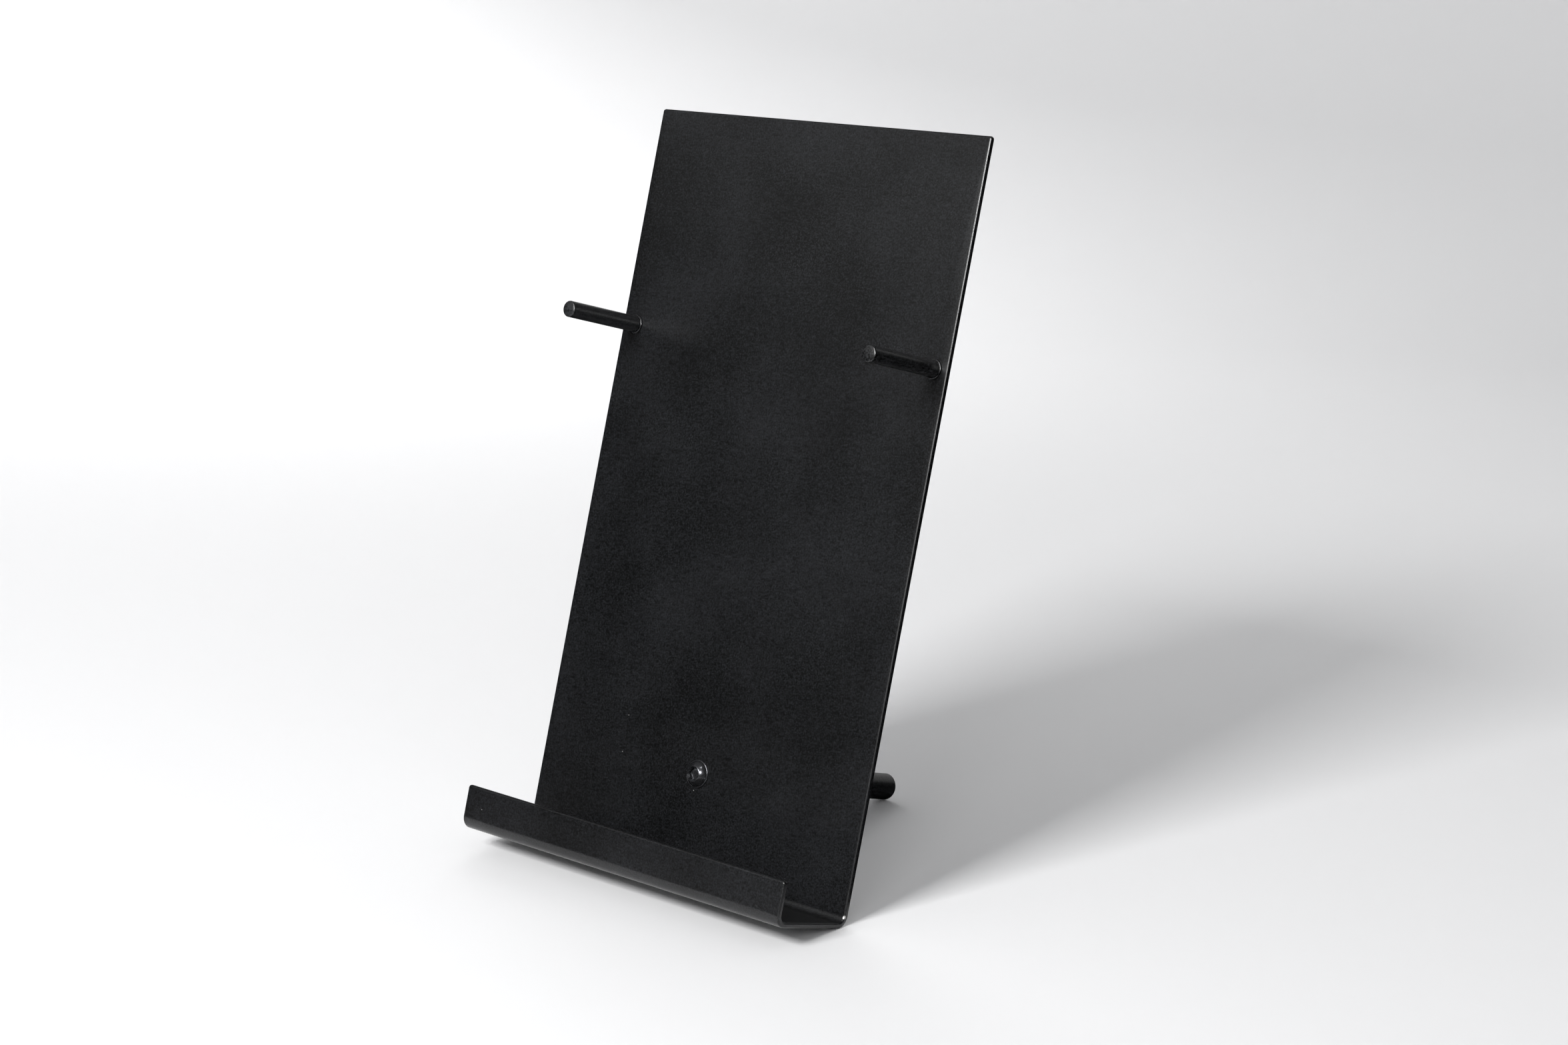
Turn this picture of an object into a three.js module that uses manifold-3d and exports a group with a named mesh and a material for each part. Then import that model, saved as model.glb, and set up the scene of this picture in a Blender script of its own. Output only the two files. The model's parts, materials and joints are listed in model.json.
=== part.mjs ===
// A table stand for a photo album. One sheet of black coated steel, bent twice, gives the tall
// back panel, the tray and the lip. Two round pins stand out of the panel to steady the open
// pages, and a round leg behind props it up. Each pin is held by a screw from behind and the
// leg by one from the front, so the stand takes apart to a flat sheet and three bars.
//
// Millimetres, +Z up. +X is to the right of the stand seen from the front, and the album faces
// -Y. The origin is on the table, under the middle of the whole stand. The pieces are modelled
// with the panel upright, its front face at y = 0 and the tray's underside at z = 0. The group
// that holds them then leans back, until the heel bend and the leg's end touch the table.

import * as THREE from 'three';
import { mergeVertices } from 'three/addons/utils/BufferGeometryUtils.js';
import Module from 'manifold-3d';

const wasm = await Module();
wasm.setup();

// Bent sheet
const PANEL_WIDTH = 155;
const PANEL_HEIGHT = 274;
const SHEET = 2;
const TRAY_DEPTH = 35; // panel's front face to lip's outer face
const LIP_HEIGHT = 16;
const BEND_RADIUS = 4.5; // outside of both bends
const SIDE_ROUND = 0.7; // rolled side edges
const TIP_ROUND = 0.9; // rolled top edges of the panel and the lip

// Round bars
const PIN_RADIUS = 3;
const PIN_LENGTH = 34.8;
const PIN_SPACING = 142.6;
const PIN_HEIGHT = 193; // above the tray's underside, along the panel
const PIN_TIP_ROUND = 0.6;
const LEG_RADIUS = 5;
const LEG_LENGTH = 106.8;
const LEG_HEIGHT = 37.6; // above the tray's underside, along the panel
const LEG_END_ROUND = 0.7;

// Washers under the pins
const WASHER_RADIUS = 3.6;
const WASHER_THICKNESS = 0.5;
const WASHER_EDGE_ROUND = 0.2;

// Button head screws with a hexagon socket
const LEG_SCREW = { radius: 3, length: 16, headRadius: 5.2, headHeight: 2.5, socket: 4, socketDepth: 1.6 };
const PIN_SCREW = { radius: 1.5, length: 10, headRadius: 2.85, headHeight: 1.65, socket: 2, socketDepth: 1 };
const HEAD_LAND = 0.17; // share of a head's height that is its straight rim
const HEAD_TOP = 0.55; // flat top of a head, as a share of its radius
const SHANK_POINT = 0.25; // chamfer at a screw's end, as a share of its radius

const GAP = 0.25; // between pieces that touch
const SHANK_CLEARANCE = 0.3; // round a screw, in its clearance hole or tapped bore
const BORE_SPARE = 2; // bore left beyond the screw's end
const BORE_MOUTH = 0.4; // countersink at the mouth of a bore
const ROUND_SIDES = 32;
const ARC_STEPS = 4;

// Lean of the panel: the heel bend's round and the round of the leg's end both rest on z = 0.
// restRise and restRun go from the heel bend's centre to the centre of the leg's end round.
const heelCentreY = SHEET - BEND_RADIUS;
const legSeatY = SHEET + GAP;
const legEndCentreY = legSeatY + LEG_LENGTH - LEG_END_ROUND;
const restRise = LEG_HEIGHT - LEG_RADIUS + LEG_END_ROUND - BEND_RADIUS;
const restRun = legEndCentreY - heelCentreY;
const lean =
  Math.acos((LEG_END_ROUND - BEND_RADIUS) / Math.hypot(restRise, restRun)) -
  Math.atan2(restRun, restRise);

// Where a point of the upright model stands once it leans, before the group is shifted.
const leantY = (y, z) => y * Math.cos(lean) + z * Math.sin(lean);
const leantZ = (y, z) => z * Math.cos(lean) - y * Math.sin(lean);
const frontmost = leantY(BEND_RADIUS - TRAY_DEPTH, BEND_RADIUS) - BEND_RADIUS;
const rearmost = leantY(legEndCentreY, LEG_HEIGHT + LEG_RADIUS - LEG_END_ROUND) + LEG_END_ROUND;
const standOffsetY = -(frontmost + rearmost) / 2;
const standOffsetZ = BEND_RADIUS - leantZ(heelCentreY, BEND_RADIUS);

// A closed solid for cutting, from a geometry class.
function toSolid(geometry) {
  const bare = geometry.clone();
  bare.deleteAttribute('normal');
  bare.deleteAttribute('uv');
  const merged = mergeVertices(bare, 1e-4);
  const corners = merged.index.array;
  const kept = [];
  for (let i = 0; i < corners.length; i += 3) {
    const [a, b, c] = corners.slice(i, i + 3);
    if (a !== b && b !== c && c !== a) kept.push(a, b, c);
  }
  return new wasm.Manifold(
    new wasm.Mesh({
      numProp: 3,
      vertProperties: Float32Array.from(merged.attributes.position.array),
      triVerts: Uint32Array.from(kept),
    }),
  );
}

function toGeometry(solid) {
  const mesh = solid.getMesh();
  const geometry = new THREE.BufferGeometry();
  geometry.setAttribute('position', new THREE.BufferAttribute(mesh.vertProperties, 3));
  geometry.setIndex(new THREE.BufferAttribute(mesh.triVerts, 1));
  geometry.computeVertexNormals();
  return geometry;
}

// Points of a quarter turn, both ends included, in a turned part's radius and height.
function quarter(radius, height, size, startAngle) {
  const points = [];
  for (let i = 0; i <= ARC_STEPS; i += 1) {
    const angle = startAngle + (Math.PI / 2) * (i / ARC_STEPS);
    points.push(new THREE.Vector2(radius + size * Math.cos(angle), height + size * Math.sin(angle)));
  }
  return points;
}

function coated(name, color) {
  return new THREE.MeshStandardMaterial({ name, color, roughness: 0.45, metalness: 0.1 });
}

function blackened(name) {
  return new THREE.MeshStandardMaterial({ name, color: 0x16171a, roughness: 0.22, metalness: 0.8 });
}

// The sheet seen from its end, in y and z: up the panel's back, over its top edge, down its
// front, along the tray, over the lip, and back along the underside.
function sheetOutline() {
  const inner = BEND_RADIUS - SHEET;
  const bendZ = BEND_RADIUS;
  const lipInnerY = SHEET - TRAY_DEPTH;
  const panelRoundZ = PANEL_HEIGHT - TIP_ROUND;
  const lipRoundZ = LIP_HEIGHT - TIP_ROUND;
  const quarterTurn = Math.PI / 2;
  const outline = new THREE.Shape();
  outline.moveTo(SHEET, bendZ);
  outline.absarc(SHEET - TIP_ROUND, panelRoundZ, TIP_ROUND, 0, quarterTurn);
  outline.absarc(TIP_ROUND, panelRoundZ, TIP_ROUND, quarterTurn, 2 * quarterTurn);
  outline.absarc(-inner, bendZ, inner, 0, -quarterTurn, true);
  outline.absarc(lipInnerY + inner, bendZ, inner, -quarterTurn, -2 * quarterTurn, true);
  outline.absarc(lipInnerY - TIP_ROUND, lipRoundZ, TIP_ROUND, 0, quarterTurn);
  outline.absarc(TIP_ROUND - TRAY_DEPTH, lipRoundZ, TIP_ROUND, quarterTurn, 2 * quarterTurn);
  outline.absarc(BEND_RADIUS - TRAY_DEPTH, bendZ, BEND_RADIUS, 2 * quarterTurn, 3 * quarterTurn);
  outline.absarc(heelCentreY, bendZ, BEND_RADIUS, 3 * quarterTurn, 4 * quarterTurn);
  return outline;
}

// A drill through the upright sheet, for a screw's clearance hole.
function drill(x, z, screw) {
  const radius = screw.radius + SHANK_CLEARANCE;
  const bit = new THREE.CylinderGeometry(radius, radius, 4 * SHEET, ROUND_SIDES);
  bit.translate(x, SHEET / 2, z);
  return toSolid(bit);
}

function backPanel() {
  const bent = new THREE.ExtrudeGeometry(sheetOutline(), {
    depth: PANEL_WIDTH - 2 * SIDE_ROUND,
    curveSegments: ARC_STEPS,
    bevelThickness: SIDE_ROUND,
    bevelSize: SIDE_ROUND,
    bevelOffset: -SIDE_ROUND,
    bevelSegments: ARC_STEPS,
  });
  bent.translate(0, 0, SIDE_ROUND - PANEL_WIDTH / 2);
  const axes = [new THREE.Vector3(0, 1, 0), new THREE.Vector3(0, 0, 1), new THREE.Vector3(1, 0, 0)];
  bent.applyMatrix4(new THREE.Matrix4().makeBasis(...axes));
  const drilled = toSolid(bent)
    .subtract(drill(0, LEG_HEIGHT, LEG_SCREW))
    .subtract(drill(-PIN_SPACING / 2, PIN_HEIGHT, PIN_SCREW))
    .subtract(drill(PIN_SPACING / 2, PIN_HEIGHT, PIN_SCREW));
  const mesh = new THREE.Mesh(toGeometry(drilled), coated('sheet_coat', 0x202125));
  mesh.name = 'back_panel';
  return mesh;
}

// A round bar standing on y = 0, with a blind tapped bore in its foot and a rounded far end.
function bar(radius, length, endRound, boreRadius, boreDepth) {
  const profile = [
    new THREE.Vector2(0, boreDepth + boreRadius / 2),
    new THREE.Vector2(boreRadius, boreDepth),
    new THREE.Vector2(boreRadius, BORE_MOUTH),
    new THREE.Vector2(boreRadius + BORE_MOUTH, 0),
    new THREE.Vector2(radius - BORE_MOUTH, 0),
    new THREE.Vector2(radius, BORE_MOUTH),
    ...quarter(radius - endRound, length - endRound, endRound, 0),
    new THREE.Vector2(0, length),
  ];
  return new THREE.LatheGeometry(profile, ROUND_SIDES);
}

function pin(name, side) {
  const seat = 2 * GAP + WASHER_THICKNESS;
  const engaged = PIN_SCREW.length - SHEET - seat + GAP;
  const boreRadius = PIN_SCREW.radius + SHANK_CLEARANCE;
  const geometry = bar(PIN_RADIUS, PIN_LENGTH, PIN_TIP_ROUND, boreRadius, engaged + BORE_SPARE);
  const mesh = new THREE.Mesh(geometry, coated('pin_coat', 0x232428));
  mesh.name = name;
  mesh.rotation.z = Math.PI;
  mesh.position.set((side * PIN_SPACING) / 2, -seat, PIN_HEIGHT);
  return mesh;
}

function rearLeg() {
  const engaged = LEG_SCREW.length - SHEET - GAP;
  const boreRadius = LEG_SCREW.radius + SHANK_CLEARANCE;
  const geometry = bar(LEG_RADIUS, LEG_LENGTH, LEG_END_ROUND, boreRadius, engaged + BORE_SPARE);
  const mesh = new THREE.Mesh(geometry, coated('leg_coat', 0x232428));
  mesh.name = 'rear_leg';
  mesh.position.set(0, legSeatY, LEG_HEIGHT);
  return mesh;
}

function pinWasher(name, side) {
  const bore = PIN_SCREW.radius + SHANK_CLEARANCE;
  const round = WASHER_EDGE_ROUND;
  const profile = [
    new THREE.Vector2(bore, 0),
    ...quarter(WASHER_RADIUS - round, round, round, -Math.PI / 2),
    ...quarter(WASHER_RADIUS - round, WASHER_THICKNESS - round, round, 0),
    new THREE.Vector2(bore, WASHER_THICKNESS),
    new THREE.Vector2(bore, 0),
  ];
  const geometry = new THREE.LatheGeometry(profile, ROUND_SIDES);
  const mesh = new THREE.Mesh(geometry, coated('washer_coat', 0x2a2b2f));
  mesh.name = name;
  mesh.rotation.z = Math.PI;
  mesh.position.set((side * PIN_SPACING) / 2, -GAP, PIN_HEIGHT);
  return mesh;
}

// A screw whose head stands on y = 0 and rises to +y, with its shank along -y. The dome is an
// arc from the straight rim up to the flat top round the socket.
function buttonScrew(size) {
  const landHeight = size.headHeight * HEAD_LAND;
  const topRadius = size.headRadius * HEAD_TOP;
  const domeDrop = size.headHeight - landHeight;
  const domeRun = size.headRadius - topRadius;
  const point = size.radius * SHANK_POINT;
  const profile = [
    new THREE.Vector2(0, -size.length),
    new THREE.Vector2(size.radius - point, -size.length),
    new THREE.Vector2(size.radius, point - size.length),
    new THREE.Vector2(size.radius, 0),
    new THREE.Vector2(size.headRadius, 0),
  ];
  for (let i = 0; i <= 2 * ARC_STEPS; i += 1) {
    const angle = (Math.PI / 2) * (i / (2 * ARC_STEPS));
    const radius = topRadius + domeRun * Math.cos(angle);
    profile.push(new THREE.Vector2(radius, landHeight + domeDrop * Math.sin(angle)));
  }
  profile.push(new THREE.Vector2(0, size.headHeight));
  const acrossCorners = size.socket / Math.cos(Math.PI / 6);
  const socket = new THREE.CylinderGeometry(acrossCorners / 2, acrossCorners / 2, 2 * size.socketDepth, 6);
  socket.translate(0, size.headHeight, 0);
  return toGeometry(toSolid(new THREE.LatheGeometry(profile, ROUND_SIDES)).subtract(toSolid(socket)));
}

function legScrew() {
  const mesh = new THREE.Mesh(buttonScrew(LEG_SCREW), blackened('leg_screw_finish'));
  mesh.name = 'leg_screw';
  mesh.rotation.z = Math.PI;
  mesh.position.set(0, -GAP, LEG_HEIGHT);
  return mesh;
}

function pinScrew(name, side) {
  const mesh = new THREE.Mesh(buttonScrew(PIN_SCREW), blackened('pin_screw_finish'));
  mesh.name = name;
  mesh.position.set((side * PIN_SPACING) / 2, SHEET + GAP, PIN_HEIGHT);
  return mesh;
}

const stand = new THREE.Group();
stand.rotation.x = -lean;
stand.position.set(0, standOffsetY, standOffsetZ);
stand.add(backPanel(), rearLeg(), legScrew());
for (const [word, side] of [['left', -1], ['right', 1]]) {
  stand.add(pin(`${word}_pin`, side));
  stand.add(pinWasher(`${word}_pin_washer`, side));
  stand.add(pinScrew(`${word}_pin_screw`, side));
}

export default stand;
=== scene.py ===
"""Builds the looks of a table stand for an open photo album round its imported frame.

One sheet of black coated steel is cut flat, drilled and folded twice, which gives the tall back
panel, the tray and the lip. Two coated pins with a thin washer each stand on the panel, and a
thicker coated bar props it up from behind. Socket head screws hold the three bars. Sizes are in
metres, in the frame's axes: +X to the right of the stand, -Y the way the album faces, +Z up.
"""

import json
import logging
import math
from dataclasses import dataclass
from enum import Enum

import bmesh
import bpy
from mathutils import Matrix, Vector


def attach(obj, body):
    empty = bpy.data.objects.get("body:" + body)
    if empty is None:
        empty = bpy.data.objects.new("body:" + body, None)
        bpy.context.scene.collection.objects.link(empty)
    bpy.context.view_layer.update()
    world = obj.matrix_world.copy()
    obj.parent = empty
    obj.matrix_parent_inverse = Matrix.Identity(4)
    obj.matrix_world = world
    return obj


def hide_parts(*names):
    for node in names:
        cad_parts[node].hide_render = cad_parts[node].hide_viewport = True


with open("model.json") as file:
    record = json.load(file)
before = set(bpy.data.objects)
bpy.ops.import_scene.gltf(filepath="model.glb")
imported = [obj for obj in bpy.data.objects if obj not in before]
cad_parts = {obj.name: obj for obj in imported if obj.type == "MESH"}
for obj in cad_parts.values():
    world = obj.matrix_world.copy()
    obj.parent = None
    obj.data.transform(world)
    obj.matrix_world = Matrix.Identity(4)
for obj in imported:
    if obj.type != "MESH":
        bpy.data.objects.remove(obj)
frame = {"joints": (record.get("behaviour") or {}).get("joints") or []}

LOG = logging.getLogger("album_stand")
MM = 0.001
MICRON = 1e-6
ROW_X = Vector((1, 0, 0))
NOISE_MIDDLE = 0.5
EVENING_WEIGHT = 60
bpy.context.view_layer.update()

Feed = bpy.types.NodeSocket | bpy.types.ID | float | int | bool | str | tuple


class Slot(Enum):
    """The record's material slots."""

    SHEET = "sheet_coat"
    BAR = "bar_coat"
    WASHER = "washer_finish"
    SCREW = "screw_finish"


class Body(Enum):
    """The bodies that the joints move."""

    PANEL = "panel"
    LEG = "leg"
    LEG_FIXING = "leg_fixing"
    PIN_LEFT = "pin_left"
    PIN_LEFT_FIXING = "pin_left_fixing"
    PIN_RIGHT = "pin_right"
    PIN_RIGHT_FIXING = "pin_right_fixing"


class NodeBench:
    """Adds nodes to one tree and wires them, so that a rule reads as a few short lines."""

    def __init__(self, tree: bpy.types.NodeTree) -> None:
        """Keeps the tree that the nodes go into."""
        self.tree = tree

    def add(
        self, kind: str, feeds: dict[str | int, Feed] | None = None, **settings: Feed
    ) -> bpy.types.Node:
        """Adds one node.

        Args:
            kind: Blender's type name of the node.
            feeds: What goes into each input, a socket to link or a value to set.
            settings: The node's own properties.

        Returns:
            The new node.
        """
        node = self.tree.nodes.new(kind)
        for name, value in settings.items():
            setattr(node, name, value)
        for name, value in (feeds or {}).items():
            self.feed(node, name, value)
        return node

    def feed(self, node: bpy.types.Node, name: str | int, value: Feed) -> None:
        """Links a socket into a node's input, or sets the input's value.

        Args:
            node: The node that is fed.
            name: The input's name, of which the first one in use counts, or its number.
            value: A socket or a plain value.
        """
        if isinstance(name, str):
            target = next(s for s in node.inputs if s.name == name and s.enabled)
        else:
            target = node.inputs[name]
        if isinstance(value, bpy.types.NodeSocket):
            self.tree.links.new(value, target)
        else:
            target.default_value = value

    def calc(self, operation: str, *values: Feed) -> bpy.types.NodeSocket:
        """Adds a Math node and returns its result."""
        return self.add("ShaderNodeMath", dict(enumerate(values)), operation=operation).outputs[0]

    def point(self, x: Feed, y: Feed, z: Feed) -> bpy.types.NodeSocket:
        """Adds a Combine XYZ node and returns its vector."""
        return self.add("ShaderNodeCombineXYZ", {0: x, 1: y, 2: z}).outputs[0]

    def split(self, vector: Feed) -> list[bpy.types.NodeSocket]:
        """Adds a Separate XYZ node and returns x, y and z."""
        return list(self.add("ShaderNodeSeparateXYZ", {0: vector}).outputs)

    def scaled(self, vector: Feed, size: Feed) -> bpy.types.NodeSocket:
        """Adds a Vector Math node that scales a vector and returns its result."""
        return self.add("ShaderNodeVectorMath", {0: vector, "Scale": size}, operation="SCALE").outputs[0]

    def noise(self, place: Feed, size: float, detail: float) -> bpy.types.NodeSocket:
        """Adds a noise whose lumps are about the given size across and returns its value."""
        feeds = {"Vector": place, "Scale": 1 / size, "Detail": detail}
        return self.add("ShaderNodeTexNoise", feeds).outputs[0]

    def swing(self, noise: Feed, width: Feed, middle: Feed) -> bpy.types.NodeSocket:
        """Spreads a noise evenly round a middle value, over the given width."""
        return self.calc("MULTIPLY_ADD", self.calc("SUBTRACT", noise, NOISE_MIDDLE), width, middle)

    def painted(self, share: Feed, under: Feed, over: tuple) -> bpy.types.NodeSocket:
        """Adds a colour Mix node.

        Args:
            share: How much of the upper colour shows.
            under: The colour below.
            over: The colour on top, as red, green and blue.

        Returns:
            The mixed colour.
        """
        feeds = {"Factor": share, "A": under, "B": (*over, 1.0)}
        mixed = self.add("ShaderNodeMix", feeds, data_type="RGBA")
        return next(socket for socket in mixed.outputs if socket.enabled)

    def bumped(self, height: Feed, distance: float, under: Feed | None = None) -> bpy.types.NodeSocket:
        """Adds a Bump node.

        Args:
            height: The pattern that raises the surface.
            distance: How far it raises it.
            under: The normal of a coarser bump below this one, if there is one.

        Returns:
            The bumped normal.
        """
        feeds = {"Strength": 1.0, "Distance": distance, "Height": height}
        if under is not None:
            feeds["Normal"] = under
        return self.add("ShaderNodeBump", feeds).outputs[0]


class RuleTree:
    """A Geometry Nodes tree with named inputs, which turns a drawn mesh into a finished one."""

    def __init__(self, name: str, sizes: dict[str, str]) -> None:
        """Makes the tree and its inputs.

        Args:
            name: The tree's name.
            sizes: For each input after the geometry, its name and socket type.
        """
        self.tree = bpy.data.node_groups.new(name, "GeometryNodeTree")
        self.bench = NodeBench(self.tree)
        face = self.tree.interface
        face.new_socket("Geometry", in_out="OUTPUT", socket_type="NodeSocketGeometry")
        face.new_socket("Geometry", in_out="INPUT", socket_type="NodeSocketGeometry")
        self.sockets = {
            label: face.new_socket(label, in_out="INPUT", socket_type=kind).identifier
            for label, kind in {**sizes, "Material": "NodeSocketMaterial"}.items()
        }
        self.entry = self.bench.add("NodeGroupInput")

    def close(self, geometry: bpy.types.NodeSocket) -> None:
        """Ends the tree by making its result real and giving it its material.

        Args:
            geometry: The tree's result.
        """
        real = self.bench.add("GeometryNodeRealizeInstances", {"Geometry": geometry})
        dressed = self.bench.add(
            "GeometryNodeSetMaterial",
            {"Geometry": real.outputs[0], "Material": self.entry.outputs["Material"]},
        )
        self.bench.add("NodeGroupOutput", {"Geometry": dressed.outputs[0]})

    def run(self, name: str, drawn: bpy.types.Mesh, values: dict[str, Feed]) -> bpy.types.Object:
        """Puts a drawn mesh through the tree and keeps the result as a plain mesh.

        Args:
            name: The new piece's name.
            drawn: The mesh that the tree starts from.
            values: A value for each named input.

        Returns:
            An object that holds the finished mesh and no modifier.
        """
        piece = bpy.data.objects.new(name, drawn)
        bpy.context.scene.collection.objects.link(piece)
        rule = piece.modifiers.new("rule", "NODES")
        rule.node_group = self.tree
        for label, value in values.items():
            rule[self.sockets[label]] = value
        graph = bpy.context.evaluated_depsgraph_get()
        made = bpy.data.meshes.new_from_object(piece.evaluated_get(graph), depsgraph=graph)
        piece.modifiers.remove(rule)
        piece.data = made
        made.name = name
        bpy.data.meshes.remove(drawn)
        return piece


@dataclass(frozen=True)
class Seat:
    """Where a piece stands: the foot of its axis, and the way the axis points."""

    foot: Vector
    along: Vector

    def shifted(self, distance: float) -> "Seat":
        """Gives the seat moved along its own axis."""
        return Seat(self.foot + self.along * distance, self.along)

    def turned(self) -> "Seat":
        """Gives the seat with its axis pointing the other way."""
        return Seat(self.foot, -self.along)

    def placing(self) -> Matrix:
        """Gives the placing of a piece that is drawn round +Z at the origin.

        Returns:
            The turn and shift that take it to this seat.
        """
        across = self.along.cross(ROW_X)
        turn = Matrix((ROW_X, across, self.along)).transposed()
        return Matrix.Translation(self.foot) @ turn.to_4x4()


class Stance:
    """Reads from the frame's joints where each bar and screw stands on the leaning panel."""

    def __init__(self, joints: list[dict]) -> None:
        """Finds the seats on the panel's front face.

        Args:
            joints: The frame's joints, of which the screws' turning axes are used.
        """
        axes = {joint["name"]: joint for joint in joints if joint["type"] == "hinge"}
        self.out = Vector(axes["leg_screw_turn"]["axis"]).normalized()
        self.leg = Seat(Vector(axes["leg_screw_turn"]["pos_m"]), self.out)
        self.pins = {
            side: Seat(Vector(axes[f"{side}_pin_screw_turn"]["pos_m"]), self.out)
            for side in ("left", "right")
        }

    def upright(self, height: float) -> Matrix:
        """Gives the placing of the panel, drawn upright with its front face at y = 0.

        Args:
            height: How far the leg's axis is above the tray's underside, along the panel.

        Returns:
            The turn and shift from the upright drawing to the leaning panel.
        """
        back = -self.out
        up = ROW_X.cross(back)
        turn = Matrix((ROW_X, back, up)).transposed()
        return Matrix.Translation(self.leg.foot - up * height) @ turn.to_4x4()


def finish_piece(piece: bpy.types.Object, placing: Matrix, body: Body, node: str) -> None:
    """Places a piece, evens its shading and ties it to the frame.

    Args:
        piece: The piece, drawn in its own axes.
        placing: The turn and shift into the frame's axes.
        body: The body that it moves with.
        node: The frame's node that it stands for.
    """
    piece.data.transform(placing)
    piece.data.update()
    evened = piece.modifiers.new("even_shading", "WEIGHTED_NORMAL")
    evened.mode = "FACE_AREA_WITH_ANGLE"
    evened.keep_sharp = True
    evened.weight = EVENING_WEIGHT
    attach(piece, body.value)
    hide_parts(node)
    LOG.info("%s: %d faces on %s", piece.name, len(piece.data.polygons), body.value)


# Finishes


def new_finish(name: str) -> tuple[bpy.types.Material, NodeBench]:
    """Makes an empty material.

    Args:
        name: The material's name.

    Returns:
        The material, and the bench of its tree.
    """
    made = bpy.data.materials.new(name)
    made.use_nodes = True
    made.node_tree.nodes.clear()
    return made, NodeBench(made.node_tree)


@dataclass(frozen=True)
class PowderCoat:
    """A satin black powder coat: soft clouds, a shallow orange peel, a fine grain, dust and, where asked,
    a bright steel spot painted in as a highlight.

    Attributes:
        patch_contrast: How far the clouds swing the colour, as a share of it.
        grain_contrast: How far the grain swings the colour, as a share of it.
        darkest: The least share of the colour that shows.
        worn_place: The middle of a spot painted as bright bare steel, a painted highlight on the sheet, if
            there is one.
    """

    name: str
    colour: tuple[float, float, float] = (0.005, 0.0053, 0.006)
    roughness: float = 0.3
    roughness_swing: float = 0.06
    refraction: float = 1.5
    patch_size: float = 45 * MM
    patch_detail: float = 2.0
    patch_contrast: float = 2.4
    peel_size: float = 1.6 * MM
    peel_detail: float = 1.5
    peel_height: float = 2.2 * MICRON
    grain_size: float = 0.6 * MM
    grain_detail: float = 1.0
    grain_height: float = 12.0 * MICRON
    grain_contrast: float = 6.0
    darkest: float = 0.1
    dust_spacing: float = 13 * MM
    dust_size: float = 0.16 * MM
    dust_colour: tuple[float, float, float] = (0.3, 0.3, 0.29)
    # A painted highlight: a small spot of bright bare steel that stands in for a highlight on the sheet.
    worn_place: tuple[float, float, float] | None = None
    worn_size: float = 0.8 * MM
    bare_steel: tuple[float, float, float] = (0.62, 0.61, 0.6)

    def build(self) -> bpy.types.Material:
        """Makes the material.

        Returns:
            A material that reads only Object coordinates.
        """
        made, bench = new_finish(self.name)
        place = bench.add("ShaderNodeTexCoord").outputs["Object"]
        patches = bench.noise(place, self.patch_size, self.patch_detail)
        peel = bench.noise(place, self.peel_size, self.peel_detail)
        grain = bench.noise(place, self.grain_size, self.grain_detail)
        dust = self._dust(bench, place)
        # Painted highlight: a bright metal spot that stands in for a highlight.
        highlight_spot = self._worn(bench, place)

        clouds = bench.swing(patches, self.patch_contrast, 1.0)
        speckled = bench.swing(grain, self.grain_contrast, clouds)
        coat = bench.scaled(self.colour, bench.calc("MAXIMUM", speckled, self.darkest))
        dusty = bench.painted(dust, coat, self.dust_colour)
        rough = bench.swing(patches, self.roughness_swing, self.roughness)
        soft = bench.bumped(peel, self.peel_height)
        shader = bench.add(
            "ShaderNodeBsdfPrincipled",
            {
                "Base Color": bench.painted(highlight_spot, dusty, self.bare_steel),
                "Metallic": highlight_spot,
                "Roughness": bench.calc("MAXIMUM", rough, dust),
                "IOR": self.refraction,
                "Normal": bench.bumped(grain, self.grain_height, under=soft),
            },
        )
        bench.add("ShaderNodeOutputMaterial", {"Surface": shader.outputs[0]})
        return made

    def _worn(self, bench: NodeBench, place: Feed) -> Feed:
        """Marks the one spot that is painted as bright bare steel, a painted highlight.

        Args:
            bench: The tree's bench.
            place: The coordinates that the spot is placed in.

        Returns:
            1 at the heart of the spot, fading to 0 at its rim, or plain 0 without a spot.
        """
        if self.worn_place is None:
            return 0.0
        away = bench.add("ShaderNodeVectorMath", {0: place, 1: self.worn_place}, operation="DISTANCE")
        fade = {"Value": away.outputs["Value"], "From Min": self.worn_size, "From Max": self.worn_size / 2}
        return bench.add("ShaderNodeMapRange", fade).outputs[0]

    def _dust(self, bench: NodeBench, place: Feed) -> bpy.types.NodeSocket:
        """Adds sparse specks: the hearts of a few widely spaced cells.

        Args:
            bench: The tree's bench.
            place: The coordinates to scatter in.

        Returns:
            1 on a speck and 0 off it.
        """
        feeds = {"Vector": place, "Scale": 1 / self.dust_spacing}
        cells = bench.add("ShaderNodeTexVoronoi", feeds)
        reach = self.dust_size / self.dust_spacing
        return bench.calc("LESS_THAN", cells.outputs["Distance"], reach)


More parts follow.
